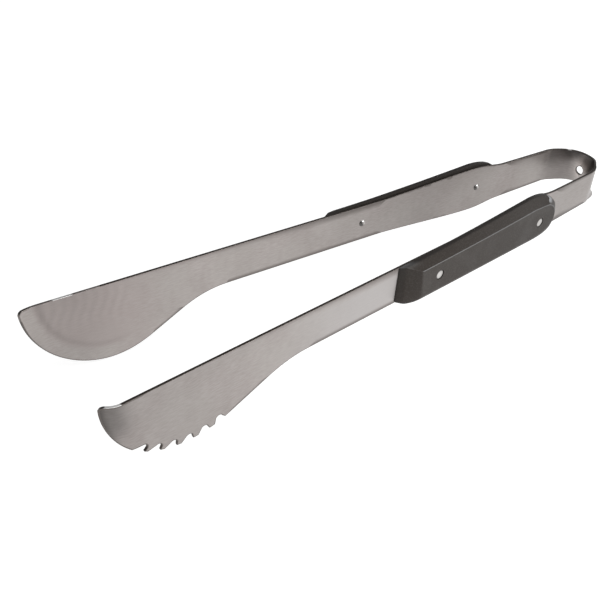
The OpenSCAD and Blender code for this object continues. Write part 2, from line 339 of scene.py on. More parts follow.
def addNode(tree, kind, settings=None, **inputs):
    node = tree.nodes.new(kind)
    for key, value in (settings or {}).items():
        setattr(node, key, value)
    return setInputs(tree, node, **inputs)


def maths(tree, operation, a, b=0.0):
    return addNode(tree, "ShaderNodeMath", {"operation": operation}, i0=a, i1=b).outputs[0]


def times(tree, a, b):
    return maths(tree, "MULTIPLY", a, b)


def ranged(tree, value, low, high, toLow=0.0, toHigh=1.0):
    return addNode(tree, "ShaderNodeMapRange", {"interpolation_type": "SMOOTHSTEP"}, Value=value,
                   From_Min=low, From_Max=high, To_Min=toLow, To_Max=toHigh).outputs[0]


def layered(tree, look, colour, *layers):
    # Colours of a look laid over one another, each by its own mask
    for mask, name in layers:
        colour = addNode(tree, "ShaderNodeMix", {"data_type": "RGBA"}, i0=mask, i6=colour,
                         i7=look[name]).outputs[2]
    return colour


def vectorMaths(tree, operation, a, b):
    return addNode(tree, "ShaderNodeVectorMath", {"operation": operation}, i0=a, i1=b).outputs


def scaled(tree, colour, amount):
    return addNode(tree, "ShaderNodeVectorMath", {"operation": "SCALE"}, i0=colour, Scale=amount).outputs[0]


def attribute(tree, name, output="Fac"):
    return addNode(tree, "ShaderNodeAttribute", {"attribute_name": name}).outputs[output]


def noise(tree, place, scale, detail, rough=0.5):
    return addNode(tree, "ShaderNodeTexNoise", Vector=place, Scale=scale, Detail=detail,
                   Roughness=rough).outputs["Fac"]


def softMasks(group, given, out, *masks):
    # Each: label, shift of its noise, share of the Scale input, detail, and values that become 0 and 1
    for label, shift, share, detail, low, high in masks:
        place = vectorMaths(group, "ADD", given.outputs["Vector"], shift)[0]
        spots = noise(group, place, times(group, given.outputs["Scale"], share), detail)
        group.links.new(ranged(group, spots, low, high), out.inputs[label])


def brushGroup():
    # Fine lines along x: Lines is sharp, Streaks is broad and soft, and Ripples runs across them
    group, given, out = newGroup("brushedLines", {"Length": 30.0, "Fineness": 2600.0},
                                 ["Lines", "Streaks", "Ripples"])
    place = given.outputs["Vector"]
    for label, share, reach, detail in (("Lines", 1.0, 1.0, 3.0), ("Streaks", 0.5, 7.0, 2.0)):
        fine = times(group, given.outputs["Fineness"], share)
        coarse = times(group, given.outputs["Length"], reach)
        stretch = addNode(group, "ShaderNodeCombineXYZ", X=coarse, Y=fine, Z=fine).outputs[0]
        lines = noise(group, vectorMaths(group, "MULTIPLY", place, stretch)[0], 1.0, detail, 0.6)
        group.links.new(lines, out.inputs[label])
    waves = noise(group, vectorMaths(group, "MULTIPLY", place, (150.0, 22.0, 0.0))[0], 1.0, 1.0)
    group.links.new(ranged(group, waves, 0.3, 0.7), out.inputs["Ripples"])
    return group


def blotchGroup():
    # Soft clouds between 0 and 1, a second set apart from the first, and small specks
    group, given, out = newGroup("softBlotches", {"Scale": 60.0}, ["Clouds", "Tint", "Specks"])
    softMasks(group, given, out,
              ("Clouds", (0, 0, 0), 1.0, 2.0, 0.3, 0.7),
              ("Tint", (3.1, 1.7, 5.3), 0.7, 1.0, 0.35, 0.65),
              ("Specks", (0, 0, 0), 22.0, 2.0, 0.45, 0.75))
    return group


def grainGroup():
    # The fine texture of moulded plastic as a height, with masks of worn places and of pale specks
    group, given, out = newGroup("mouldedGrain", {"Scale": 2400.0}, ["Height", "Wear", "Specks"])
    place, scale = given.outputs["Vector"], given.outputs["Scale"]
    cells = addNode(group, "ShaderNodeTexVoronoi", Vector=place, Scale=times(group, scale, 0.6))
    cells = times(group, cells.outputs["Distance"], 0.4)
    height = maths(group, "ADD", noise(group, place, scale, 3.0, 0.65), cells)
    group.links.new(height, out.inputs["Height"])
    softMasks(group, given, out,
              ("Wear", (0, 0, 0), 0.02, 3.0, 0.4, 0.7),
              ("Specks", (0, 0, 0), 0.45, 1.0, 0.42, 0.72))
    return group


brushed, blotches, grain = brushGroup(), blotchGroup(), grainGroup()


def useGroup(tree, group, **inputs):
    return addNode(tree, "ShaderNodeGroup", {"node_tree": group}, **inputs).outputs


def newMaterial(name):
    material = bpy.data.materials.new(name)
    material.use_nodes = True
    return material, material.node_tree, material.node_tree.nodes["Principled BSDF"]


def bumped(tree, height, strength, depth):
    return addNode(tree, "ShaderNodeBump", Strength=strength, Distance=depth * mm, Height=height).outputs[0]


steelLook = {
    "light": (0.424, 0.392, 0.377, 1),
    "dark": (0.325, 0.292, 0.279, 1),
    "greenish": (0.370, 0.352, 0.332, 1),
    "violet": (0.370, 0.322, 0.310, 1),
    "neutral": (0.380, 0.364, 0.359, 1),
    # the cut faces: their own duller grey, darkened further as painted shade where they face the dim light
    # above
    "cut": (0.070, 0.060, 0.054, 1),
    # painted shade: a thin dark line along each edge of the strip
    "edgeShade": (0.13, 0.115, 0.107, 1),
    # painted highlight on the cut edge
    "paintedHighlight": (0.92, 0.91, 0.90, 1),
    "cloudShare": 0.3,  # what clouds, streaks and ripples each add to the mix of light and dark
    "streakShare": 0.55,
    "rippleShare": 0.15,
    "greenShare": 0.3,
    "edgeShadeShare": 0.85,
    "rough": 0.34,
    "cutRough": 0.15,
}


def stripSteel(look):
    material, tree, shader = newMaterial("brushedStripSteel")
    place = attribute(tree, "stripPlace", "Vector")
    lines = useGroup(tree, brushed, Vector=place)
    soft = useGroup(tree, blotches, Vector=place, Scale=45.0)
    streaks = ranged(tree, lines["Streaks"], 0.3, 0.7)
    clouds = maths(tree, "ADD", times(tree, soft["Clouds"], look["cloudShare"]),
                   times(tree, streaks, look["streakShare"]))
    clouds = maths(tree, "ADD", clouds, times(tree, lines["Ripples"], look["rippleShare"]))
    colour = layered(tree, look, look["dark"], (clouds, "light"),
                     (times(tree, soft["Tint"], look["greenShare"]), "greenish"),
                     (attribute(tree, "violetCast"), "violet"), (attribute(tree, "neutralCast"), "neutral"))
    # painted light and shade along the arm, round the bow and at the tip
    colour = scaled(tree, colour, attribute(tree, "steelTone"))
    # a thin line of painted shade along every edge
    edgeShade = ranged(tree, attribute(tree, "rimShadeLine"), 0.15, 0.95, 0.0, look["edgeShadeShare"])
    # the cut faces' own duller grey with painted shade
    cut = attribute(tree, "cutEdge")
    colour = layered(tree, look, colour, (edgeShade, "edgeShade"), (cut, "cut"),
                     (attribute(tree, "cutHighlight"), "paintedHighlight"))
    rough = ranged(tree, lines["Lines"], 0.3, 0.7, look["rough"] - 0.05, look["rough"] + 0.06)
    rough = maths(tree, "ADD", rough, times(tree, cut, look["cutRough"]))
    setInputs(tree, shader, Base_Color=colour, Metallic=1.0, Roughness=rough,
              Normal=bumped(tree, lines["Lines"], 0.12, 0.02))
    return material


plasticLook = {
    "base": (0.0240, 0.0182, 0.0142, 1),
    "worn": (0.0260, 0.0202, 0.0162, 1),
    "speck": (0.038, 0.0315, 0.0270, 1),
    # the pale colour of the painted highlights on the ridge and corners
    "ridge": (0.30, 0.305, 0.315, 1),
    "rough": 0.46,
    "roughSpan": 0.04,
    "specular": 0.27,
}


def handlePlastic(look):
    material, tree, shader = newMaterial("charcoalHandlePlastic")
    fine = useGroup(tree, grain, Vector=addNode(tree, "ShaderNodeTexCoord").outputs["Object"])
    colour = layered(tree, look, look["base"], (fine["Wear"], "worn"),
                     (fine["Specks"], "speck"), (attribute(tree, "ridgeHighlight"), "ridge"))
    rough, span = look["rough"], look["roughSpan"]
    setInputs(tree, shader, Base_Color=scaled(tree, colour, attribute(tree, "plasticTone")),
              Roughness=ranged(tree, fine["Wear"], 0.0, 1.0, rough + span, rough - span),
              Specular_IOR_Level=look["specular"], Normal=bumped(tree, fine["Height"], 0.25, 0.03))
    return material


rivetLook = {
    "bright": (0.60, 0.585, 0.57, 1),
    "dull": (0.46, 0.445, 0.43, 1),
    # painted shade round each head's rim and on one side of each tail
    "rim": (0.035, 0.032, 0.03, 1),
    "rimShare": 0.85,
    "rough": 0.34,
}


def rivetSteel(look):
    material, tree, shader = newMaterial("spunRivetSteel")
    place = addNode(tree, "ShaderNodeTexCoord").outputs["Object"]
    soft = useGroup(tree, blotches, Vector=place, Scale=260.0)
    rim = times(tree, attribute(tree, "rimShade"), look["rimShare"])
    colour = layered(tree, look, look["dull"], (soft["Clouds"], "bright"), (rim, "rim"))
    rough = ranged(tree, soft["Specks"], 0.0, 1.0, look["rough"] - 0.04, look["rough"] + 0.08)
    setInputs(tree, shader, Base_Color=colour, Metallic=1.0, Roughness=rough,
              Normal=bumped(tree, soft["Specks"], 0.2, 0.03))
    return material


steel, plastic, rivetMetal = stripSteel(steelLook), handlePlastic(plasticLook), rivetSteel(rivetLook)
print("materials ready")


# How the strip widens under the handle; its two halves meet at the bow's apex
tang = {
    "top": 3.0, "low": 4.2, "lead": 74.0, "shift": 5.0, "taper": 1.65,
    "ease": 0.47, "lift": 0.4, "crest": 0.26, "rear": 0.42,
}

plainBlade = {
    "drop": 24.7, "belly": 49.4, "front": 54.0, "join": 30.0, "flank": 28.8, "neck": 59.0,
    "curl": 27.0,
    "teeth": 0,
    "seenFace": -1,  # which face keeps the outline's size where the wall leans: 1 outer, -1 inner
    "dishLow": 0.4,  # share of the tip's curl that is left along the belly
    "flareTop": (5, 62),  # degrees from the apex where the upper rim's spread is full, and where it ends
    "flareLow": (5, 62),
    # tone is painted light and shade along the arm; inner is painted light and shade inside the bow
    "tone": ((0, 0.92), (40, 0.86), (70, 0.82), (110, 0.75), (150, 0.82), (200, 0.94),
             (270, 1.0), (330, 0.96), (360, 0.85), (400, 0.82)),
    "inner": ((-30, 2.4), (-25, 0.98), (-20, 0.62), (-15, 0.66), (-10, 0.62), (-5, 0.64), (-2, 0.84), (4, 1)),
    # painted shade in the crease where the tip starts to curl, and painted light on the curled rim
    "creaseTone": -0.14,
    "rimTone": 0.2,
    "rimSoft": (0, 4),  # the rim's painted light and shade comes in between these places past the crease
    "endShade": 0.0,  # darkening of the last few millimetres of the tip's rim
    "tipEdgeShade": (383, -6, 0.9),  # stronger painted edge shade round the tip: from which u, from which v, and how much
    "lowEdgeShade": 1.0,  # painted shade on the lower rim between bow and handle, as a tone
    "paintedHighlight": (362.5, 372.5),  # stretch of the upper cut edge with a painted highlight
    "glint": (-19.0, -16.5),  # a second, short one on the bow
    "paleFrom": 347.0,  # from here to the tip the upper cut edge is as pale as the face
    "ripple": 0.036,
    "violet": 0.55,  # share of a violet cast over the blade, inside its rim
    "neutral": 0.0,  # share of a neutral cast ahead of the handle
}

sawBlade = {
    "drop": 20.9, "belly": 57.1, "front": 41.0, "join": 37.0, "flank": 22.5, "neck": 73.0,
    "curl": 12.0,
    "teeth": 6, "pitch": 10.3, "inset": 2.6, "gullet": 2.2, "depth": 2.1, "first": 1.9, "step": 0.3,
    "mouth": 8.6, "mouthStep": 0.35, "mouthLift": 0.35,
    "seenFace": 1,
    "dishLow": 0.05,
    "flareTop": (18, 48),
    "flareLow": (25, 70),
    # tone is painted light and shade along the arm; inner is painted light and shade inside the bow
    "tone": ((0, 0.78), (40, 0.79), (60, 1.0), (200, 1.14), (235, 1.12), (290, 0.98), (340, 0.88),
             (400, 0.80)),
    "inner": ((-30, 2.4), (-25, 1.6), (-20, 0.64), (-15, 0.66), (-10, 0.62), (-5, 0.64), (-2, 0.84), (4, 1)),
    # painted shade on the curled rim and at the tip's end
    "creaseTone": 0.0,
    "rimTone": -0.44,
    "rimSoft": (-8, 6),
    "endShade": 0.5,
    "tipEdgeShade": (368, -40, 1.6),
    "lowEdgeShade": 0.3,
    "paintedHighlight": (382.5, 390.0),
    "glint": (0, 0),
    "paleFrom": 400.0,
    "ripple": 0.0,
    "violet": 0.0,
    "neutral": 0.8,
}


def bladeCentres(blade):
    join = math.radians(blade["join"])
    bellyV = -topV - blade["drop"] + blade["belly"]
    frontV = bellyV + (blade["front"] - blade["belly"]) * math.cos(join)
    frontU = strip["armLength"] - math.sqrt(blade["front"] ** 2 - (topV - frontV) ** 2)
    return (frontU + (blade["front"] - blade["belly"]) * math.sin(join), bellyV), (frontU, frontV)


def notched(blade, centre, front, start, end):
    # The belly's arc with a notch in front of each tooth; the last one may end on the front arc
    radius, path, last = blade["belly"], [], start
    for number in reversed(range(blade["teeth"])):
        reach = blade["inset"] + (blade["teeth"] - 1 - number) * blade["pitch"]
        turn = -math.radians(blade["flank"]) + reach / radius
        bend = np.array([[math.cos(turn), math.sin(turn)], [-math.sin(turn), math.cos(turn)]])
        gullet = np.array([blade["first"] + number * blade["step"], blade["depth"]])
        mouth = np.array([blade["mouth"] - number * blade["mouthStep"], blade["mouthLift"]])
        root = arc(gullet, blade["gullet"], math.pi, math.pi / 4, 0.6)
        slope = root[-1] + np.linspace(0, 1, 400)[:, None] * (mouth - root[-1])
        root, slope = (np.array(centre) + (part - [0, radius]) @ bend for part in (root, slope))
        past = np.arctan2(slope[:, 1] - centre[1], slope[:, 0] - centre[0]) > end
        over = np.where(past, np.hypot(*(slope - front).T) - blade["front"],
                        np.hypot(*(slope - centre).T) - radius)
        out = np.argmax(over >= 0)
        path += [arc(centre, radius, last, turn - math.pi / 2, 1.5), root, slope[[out // 2, out]]]
        last = math.atan2(slope[out][1] - centre[1], slope[out][0] - centre[0])
    if last < end:
        path.append(arc(centre, radius, last, end, 1.5))
    return joined(*path)


def bladeEdge(blade):
    belly, front = bladeCentres(blade)
    flank, join = math.radians(blade["flank"]), math.radians(blade["join"])
    flankEnd = np.array(belly) - blade["belly"] * np.array([math.sin(flank), math.cos(flank)])
    flankStart = flankEnd[0] - (-topV - flankEnd[1]) / math.tan(flank)
    neck = (flankStart - blade["neck"] * math.tan(flank / 2), -topV - blade["neck"])
    corner = strip["cornerRadius"]
    lift = math.asin((topV - corner - front[1]) / blade["front"])
    cornerU = front[0] + blade["front"] * math.cos(lift) - corner
    down = -math.pi / 2
    lower = notched(blade, belly, front, down - flank, down + join)
    frontStart = math.atan2(lower[-1][1] - front[1], lower[-1][0] - front[0])
    return joined(
        arc(neck, blade["neck"], -down, -down - flank, 3.0), lower,
        arc(front, blade["front"], frontStart, lift, 1.4),
        arc((cornerU, topV - corner), corner, 0, -down, 0.5))


def tangEdge(rise, taper):
    front = np.array([swellU + tang["lead"], topV])
    crest = np.array([swellU - tang["shift"], topV + rise])
    rear = np.array([handle["start"] - tang["shift"], rearV + taper])
    slope = np.array([(crest[0] - rear[0]) * tang["rear"], 0])
    return joined(
        cubic([front, front + [-tang["ease"] * tang["lead"], tang["lift"] * rise],
               crest + [tang["crest"] * tang["lead"], 0], crest], 12),
        cubic([crest, crest - slope, rear + slope, rear], 8))


def stripOutline(blade):
    # Counter-clockwise from the apex along the lower edge to the tip, back along the upper edge,
    # and round the hang hole
    bow = gridOf(np.arange(apexU, 0.2, strip["bowStep"]), [rearV])
    cornerStart = strip["armLength"] - strip["cornerRadius"] - 1
    top = gridOf(np.arange(strip["fineFrom"], cornerStart, strip["bowStep"])[::-1], [topV])
    mirrored = [1, -1]
    return joined(
        bow * mirrored, (tangEdge(tang["low"], tang["taper"]) * mirrored)[::-1],
        bladeEdge(blade), top, tangEdge(tang["top"], 0), bow[::-1],
        arc((apexU, 0), strip["holeRadius"], math.pi / 2, -math.pi / 2, 0.5))


# Turns round the tip, in degrees, and places past the belly's centre between which the curl comes in
dish = {"turn": (-60, 2), "lead": (-25, 5)}


def intoRim(blade, u, v):
    # How far each point lies past the line where the blade's rim starts to curl, and the curl's share there
    belly, front = bladeCentres(blade)
    turn = np.degrees(np.arctan2(v - front[1], u - front[0]))
    edge = np.where(turn > blade["join"] - 90, blade["front"] - np.hypot(u - front[0], v - front[1]),
                    blade["belly"] - np.hypot(u - belly[0], v - belly[1]))
    share = mix(blade["dishLow"], 1, ramp(turn, *dish["turn"])) * ramp(u - belly[0], *dish["lead"])
    return strip["curlLength"] - edge, share


def dishDepth(blade, u, v):
    # How far the blade's rim curls inwards: most at the tip, less along the belly
    into, share = intoRim(blade, u, v)
    into = np.clip(into, 0, strip["curlLength"] * 1.05)
    return share * (blade["curl"] - np.sqrt(blade["curl"] ** 2 - into ** 2))


def stripSurface(blade, side, u, v, n):
    radius, h = strip["bowRadius"], 0.05
    back = -np.minimum(u, 0) / radius
    fromApex = np.degrees((u - apexU) / radius)
    out = np.abs(v / rearV) ** strip["spreadPower"]
    flare = 0
    for limit, amount, chosen in ((blade["flareTop"], strip["spreadTop"], v > 0),
                                  (blade["flareLow"], strip["spreadLow"], v <= 0)):
        flare = flare + np.where(chosen, amount * ramp(fromApex, limit[1], limit[0]) * out, 0)
    # In the curled rim the wall's thickness follows the tilted face, and the seen face keeps the outline
    tiltU = (dishDepth(blade, u + h, v) - dishDepth(blade, u - h, v)) / (2 * h)
    tiltV = (dishDepth(blade, u, v + h) - dishDepth(blade, u, v - h)) / (2 * h)
    upright = 1 / np.sqrt(1 + tiltU ** 2 + tiltV ** 2)
    lean = (n - blade["seenFace"] * halfWall) * upright
    x = np.clip(u, 0, None) - radius * np.sin(back) + lean * tiltU
    y = -radius * (1 - np.cos(back))
    off = n * upright + flare - dishDepth(blade, u, v)
    return toWorld(np.stack([x - off * np.sin(back), y + off * np.cos(back), v + lean * tiltV], -1), side)


def stripFrame(blade, side, u, v, n):
    # Unit vectors along u, across v and off the face at each point
    place = np.array([u, v, n])
    alongU, acrossV, off = (stripSurface(blade, side, *(place + h)) - stripSurface(blade, side, *(place - h))
                            for h in 0.02 * np.eye(3)[..., None])
    face = unit(np.cross(alongU, acrossV))
    face *= np.sign((face * off).sum(-1, keepdims=True))
    return unit(alongU), unit(acrossV), face


def innerPoints(loop):
    # A grid over the strip, close where it bends and wide where it is flat
    places = np.concatenate([
        gridOf(np.arange(start + (0 if start == apexU else stepU / 2), end, stepU),
               np.arange(-topV - stripGrid["drop"], topV + stripGrid["rise"], stepV))
        for start, end, stepU, stepV in stripGrid["bands"]])
    return places[inside(places, loop) & ~nearLoop(places, loop, strip["rimWidth"] + stripGrid["clear"])]


# Painted light and shade round the bow: inside low down, and on its outer face
bowTone = {
    "innerLow": ((-30, 1.2), (-24, 0.70), (-16, 0.60), (-8, 0.72), (0, 0.84), (8, 1)),
    "outer": ((-30, 0.60), (-22, 0.65), (-12, 0.92), (0, 0.99)),
}

rimMarks = {
    "crease": (-0.6, 1.5),  # the middle and width of the painted shade along the crease, as places past the start of the curl
    "creaseShare": (0.1, 0.5),  # shares of the curl between which the painted shade of the crease and the painted tone of the rim come in
    "tipShare": (0.25, 0.85),
    "end": (6.5, 10),
}

# Painted light and shade of ripples across the blade
wave = {
    "turn": 1.05, "slant": 0.12, "sway": 1.5, "swayLength": 4,
    "start": (325, 337), "end": (384, 378), "low": (-20, 0),  # where the ripple comes in and ends
}

# Where the casts come in along the arm, and where the neutral one ends again
casts = {"violet": (300, 340), "neutral": (185, 195), "neutralEnd": (300, 220)}


def steelTone(blade, u, v, n):
    # Painted light and shade on the steel: lighter and darker along the arm and round the bow, a painted
    # crease and rim at the tip, a darker tip end and painted ripples
    inner = mix(readOff(bowTone["innerLow"], u), readOff(blade["inner"], u), ramp(v, -8, 4))
    tone = readOff(blade["tone"], u) * np.where(n < 0, inner, readOff(bowTone["outer"], u))
    into, share = intoRim(blade, u, v)
    middle, width = rimMarks["crease"]
    crease = np.exp(-((into - middle) / width) ** 2) * ramp(share, *rimMarks["creaseShare"])
    atTip = ramp(share, *rimMarks["tipShare"])
    rim = ramp(into, *blade["rimSoft"]) * atTip
    end = blade["endShade"] * ramp(into, *rimMarks["end"]) * atTip
    ripple = np.sin((u + wave["slant"] * v + wave["sway"] * np.sin(v / wave["swayLength"])) * wave["turn"])
    ripple = ripple * ramp(u, *wave["start"]) * ramp(u, *wave["end"]) * ramp(v, *wave["low"])
    marks = blade["creaseTone"] * crease + blade["rimTone"] * rim + blade["ripple"] * ripple
    return tone * (1 - end) * (1 + marks)


def edgeShadeShare(blade, u, v):
    # The painted edge shade is weaker along the upper edge towards the tip, and strong round the tip
    startU, startV, more = blade["tipEdgeShade"]
    tip = ramp(u, startU, startU + 4) * ramp(v, startV, startV + 10)
    upper = (v > topV - 1) * ramp(u, 280, 340) * (1 - tip)
    return (1 - 0.6 * upper) * (1 + more * tip)


def stripAttributes(blade, side, u, v, n, count, ringCount):
    # The first ringCount rings of count points are the cut edge, whose outer two lie on the faces
    number = np.arange(len(u))
    cut = (number >= count) & (number < (ringCount - 1) * count)
    edge = number < ringCount * count
    # painted highlights on stretches of the upper cut edge
    paintedHighlight = sum((u > start) & (u < end) for start, end in (blade["paintedHighlight"], blade["glint"]))
    paintedHighlight = paintedHighlight * (cut & (v > rearV - 0.5))
    pale = (v > topV - 6) & (u > blade["paleFrom"])
    # painted shade along the lower edge between bow and handle
    lowEdgeShade = edge & (v < 0) & (u < handle["start"])
    into, share = intoRim(blade, u, v)
    offRim = 1 - ramp(into, 0, 4) * ramp(share, 0, 0.4)
    apart = 2000 * (side < 0)  # keeps the two halves from having the same pattern
    return {
        "stripPlace": np.stack([u + apart, v, n], 1) * mm,
        "cutEdge": cut * np.where(pale, 0.25, 1),
        # painted shade along the edges
        "rimShadeLine": edge * np.where(pale, 0.4, 1) * edgeShadeShare(blade, u, v),
        "cutHighlight": paintedHighlight,
        "violetCast": blade["violet"] * ramp(u, *casts["violet"]) * offRim,
        "neutralCast": blade["neutral"] * ramp(u, *casts["neutral"]) * ramp(u, *casts["neutralEnd"]),
        "steelTone": steelTone(blade, u, v, n) * np.where(lowEdgeShade, blade["lowEdgeShade"], 1),
    }


def stripHalf(name, blade, side):
    loop = stripOutline(blade)
    count, ahead = len(loop), np.roll(loop, -1, 0)
    along = unit(ahead - loop)
    normals = np.stack([along[:, 1], -along[:, 0]], 1)  # outwards, as the loop runs counter-clockwise
    seam = (np.abs(loop[:, 0] - apexU) < 0.01) & (np.abs(ahead[:, 0] - apexU) < 0.01)
    before = np.where(np.roll(seam, 1)[:, None], normals, np.roll(normals, 1, 0))
    after = np.where(seam[:, None], before, normals)
    shared = unit(before + after)
    spread = 1 / np.maximum((shared * after).sum(1), strip["leastMitre"])
    sharp = (before * after).sum(1) < math.cos(strip["sharpTurn"])
    # Rings round the cut edge from the outer face to the inner: inset, place in the wall, tilt of the normal
    rounding = strip["edgeRound"]
    middle = rounding * (1 - math.sqrt(0.5))
    rings = [(rounding, halfWall, 0), (middle, halfWall - middle, 45), (0, halfWall - rounding, 90),
             (0, rounding - halfWall, 90), (middle, middle - halfWall, 135), (rounding, -halfWall, 180)]
    insets, depths, tilts = zip(*rings)
    flatRings = [loop - shared * (spread * inset)[:, None] for inset in insets]
    rimLine = loop - shared * (spread * strip["rimWidth"])[:, None]
    # Points of that line which come too near another part of the edge are left out
    clear = ~nearLoop(rimLine, loop, strip["rimWidth"] * 0.97) & inside(rimLine, loop)
    rest = np.concatenate([rimLine[clear], innerPoints(loop)])
    rest = rest[rest[:, 0] > apexU + 0.5]
    reach, edgeTotal = strip["seamReach"], len(rings) * count
    seamV = np.arange(-reach, reach + 0.5, strip["seamStep"])
    seamV = seamV[np.abs(seamV) > strip["holeRadius"] + 1]
    inner = np.concatenate([[(apexU, at) for at in seamV], rest])
    flat = np.concatenate(flatRings + [inner, inner])
    u, v = flat.T
    # The apex line is part of the fill's border, so its points go into the loop there
    slots = []
    for i in range(count):
        slots.append(i)
        if seam[i]:
            slots += [edgeTotal + k for k, at in enumerate(seamV) if v[(i + 1) % count] < at < v[i]][::-1]
    border = flat[slots]
    slots += range(edgeTotal + len(seamV), edgeTotal + len(inner))
    outer = [[slots[i] for i in t] for t in filled([border], rest)]
    back = [[i + (len(inner) if i >= count else edgeTotal - count) for i in t][::-1] for t in outer]
    n = np.repeat(depths + (halfWall, -halfWall), [count] * len(rings) + [len(inner)] * 2)
    alongU, acrossV, face = stripFrame(blade, side, u, v, n)
    edge = np.array([quad for quad in quads(len(rings), count) if not seam[quad[0] % count]])
    at, tilt = edge % count, np.radians(tilts)[edge // count][..., None]
    out = np.where(sharp[at][..., None], normals[at[:, :1]], shared[at])
    aside = unit(out[..., :1] * alongU[edge] + out[..., 1:] * acrossV[edge])
    around = np.cos(tilt) * face[edge] + np.sin(tilt) * aside
    corners = np.concatenate([face[np.ravel(outer)], -face[np.ravel(back)], around.reshape(-1, 3)])
    return buildSmooth(name, stripSurface(blade, side, u, v, n), outer + back + edge.tolist(), corners,
                       stripAttributes(blade, side, u, v, n, count, len(rings)), steel)


nearStrip = stripHalf("nearStrip", sawBlade, 1)
farStrip = stripHalf("farStrip", plainBlade, -1)
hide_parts("near_arm", "spring_bow")
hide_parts("far_arm", "spring_bow")
for piece, body, side in ((nearStrip, "near_arm", 1), (farStrip, "far_arm", -1)):
    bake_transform(piece)


def riseFrom(wall, level):
    return max(0, (level - wall) / (handle["thick"] - wall))


def flowing(frontX, heights):
    # An edge that flows from the front to the widest place
    reach, (front, rear) = frontX - swellU, handle["flow"]
    return cubic([[frontX, heights[0]], [frontX - front * reach, heights[1]],
                  [swellU + rear * reach, heights[2]], [swellU, heights[3]]], handle["edgeSteps"])


def rearPoints(level, height, power, turn):
    # Round the rear end, where the slope draws the outline in above the square wall
    inset = handle["slopeRear"] * riseFrom(handle["rearWall"], level)
    return np.stack([swellU - (swellU - handle["start"] - inset) * np.sin(turn) ** (2 / power),
                     height * np.clip(np.cos(turn), 0, 1) ** (2 / power)], 1)


def upperRear(level, turn):
    fall = handle["rearDrop"] * riseFrom(handle["wall"], level)
    return rearPoints(level, topV + handle["swellTop"] - fall, handle["power"], turn)


def bevelLine():
    # The bevel's upper line: along the edge, partly round the end, then straight on
    swell = topV + handle["swellTop"] * np.array(handle["swellShape"])
    bend = upperRear(0, np.radians(np.linspace(0, handle["bevelTurn"], 20))[1:])
    slope = (bend[-1] - bend[-2]) / (bend[-2] - bend[-1])[0]
    last = bend[-1] + slope * (bend[-1][0] - handle["start"])
    return np.concatenate([flowing(handleEnd, swell), bend, [last]])[::-1]


def ridgeLine():
    rise = handle["faceUp"] + handle["faceRise"] * np.array(handle["ridgeShape"])
    end = [[handle["start"], handle["faceUp"] + handle["faceRise"] - handle["ridgeFall"]]]
    return np.concatenate([flowing(handleEnd, rise), end])[::-1]


bevelTop, bevelLow = bevelLine(), ridgeLine()


def bevelHeight(level, x):
    return mix(np.interp(x, *bevelTop.T), np.interp(x, *bevelLow.T), riseFrom(handle["wall"], level))


def upperEdge(level, frontX):
    # Along the bevel to its rear corner, then round the rear slope; two points close together keep it crisp
    turns = np.linspace(0, math.pi / 2, 3000)
    ring = upperRear(level, turns)
    turn = turns[np.nonzero(ring[:, 1] >= bevelHeight(level, ring[:, 0]) - 1e-6)[0][-1]]
    corner = upperRear(level, np.array([turn]))[0]
    flow = np.concatenate([np.linspace(frontX, swellU, handle["edgeSteps"] + 1),
                           np.linspace(swellU, corner[0] + 0.12, handle["cornerSteps"])[1:]])
    edge = np.column_stack([flow, bevelHeight(level, flow)])
    end = upperRear(level, np.linspace(turn + 0.006, math.pi / 2, handle["endSteps"]))
    return np.concatenate([edge, [corner], end])


def lowerEdge(level, frontX):
    bellyLevel = handle["thick"] - handle["lowRound"]
    swell = handle["wallSwell"] * min(1, level / handle["wall"])
    base = topV + np.array([swell, 0, handle["swellLow"], handle["swellLow"]])
    face = handle["faceDown"] + np.array([-handle["waist"], 0, 0, 0])
    bulge = math.sqrt(max(0, handle["lowRound"] ** 2 - max(0, level - bellyLevel) ** 2))
    share = np.clip((level - handle["wall"]) / (bellyLevel - handle["wall"]), 0, 1)
    heights = mix(base, face + bulge, share)
    power = mix(handle["lowPower"], handle["power"], riseFrom(handle["rearWall"], level))
    turn = np.linspace(0, math.pi / 2, handle["cornerSteps"] + handle["endSteps"] + 1)[1:]
    return np.concatenate([flowing(frontX, heights), rearPoints(level, heights[3], power, turn)])


def rounded(edge, size):
    # Rounds the corner between the front end and an edge
    x = edge[0][0] - size
    along = np.array([x, np.interp(x, edge[2::-1, 0], edge[2::-1, 1])])
    bend = quadratic(edge[0] - [0, size], edge[0], along, np.linspace(0, 1, 8)[:, None])
    return np.concatenate([bend, edge[2:]])


def raised(flat, height):
    return np.column_stack([flat[:, 0], np.full(len(flat), height), flat[:, 1]])


def scaleRing(level, inset=0.0):
    # The outline at a height above the strip; inset draws it in for the rounding of the face's edge
    frontX = handleEnd - handle["slopeFront"] * riseFrom(handle["frontWall"], level)
    frontX -= inset * handle["frontRound"]
    upper = rounded(upperEdge(level, frontX), handle["topCorner"] * (1 - 0.7 * riseFrom(0, level)))
    lowX = frontX + readOff(handle["lowShift"], level)
    lower = rounded(lowerEdge(level, lowX), handle["lowCorner"])
    if inset:
        upper = upper - [0, inset * handle["topRound"]] * ramp(upper[:, 1:], 0, 3)
        upper[:, 0] += inset * handle["rearRound"] * ramp(upper[:, 0], swellU - 10, swellU - 18)
    return raised(np.concatenate([upper, (lower * [1, -1])[-2::-1]]), level)


roundSteps = 5  # rings in the rounding between bevel and face

# Painted highlights beside the crease at the upper rear corner, and at the near scale's upper front corner:
# how strong they are by height above the strip, and by number of points along the edge
highlightAtCrease = ((2.0, 0), (2.8, 1), (6.2, 1), (7.4, 0)), ((-1, 0), (0, 1), (3, 0.9), (6, 0))
highlightAtCorner = ((0, 1), (1, 0.8), (3, 0.2), (5, 0)), ((2, 0), (5, 0.5), (8, 0.5), (10, 0))


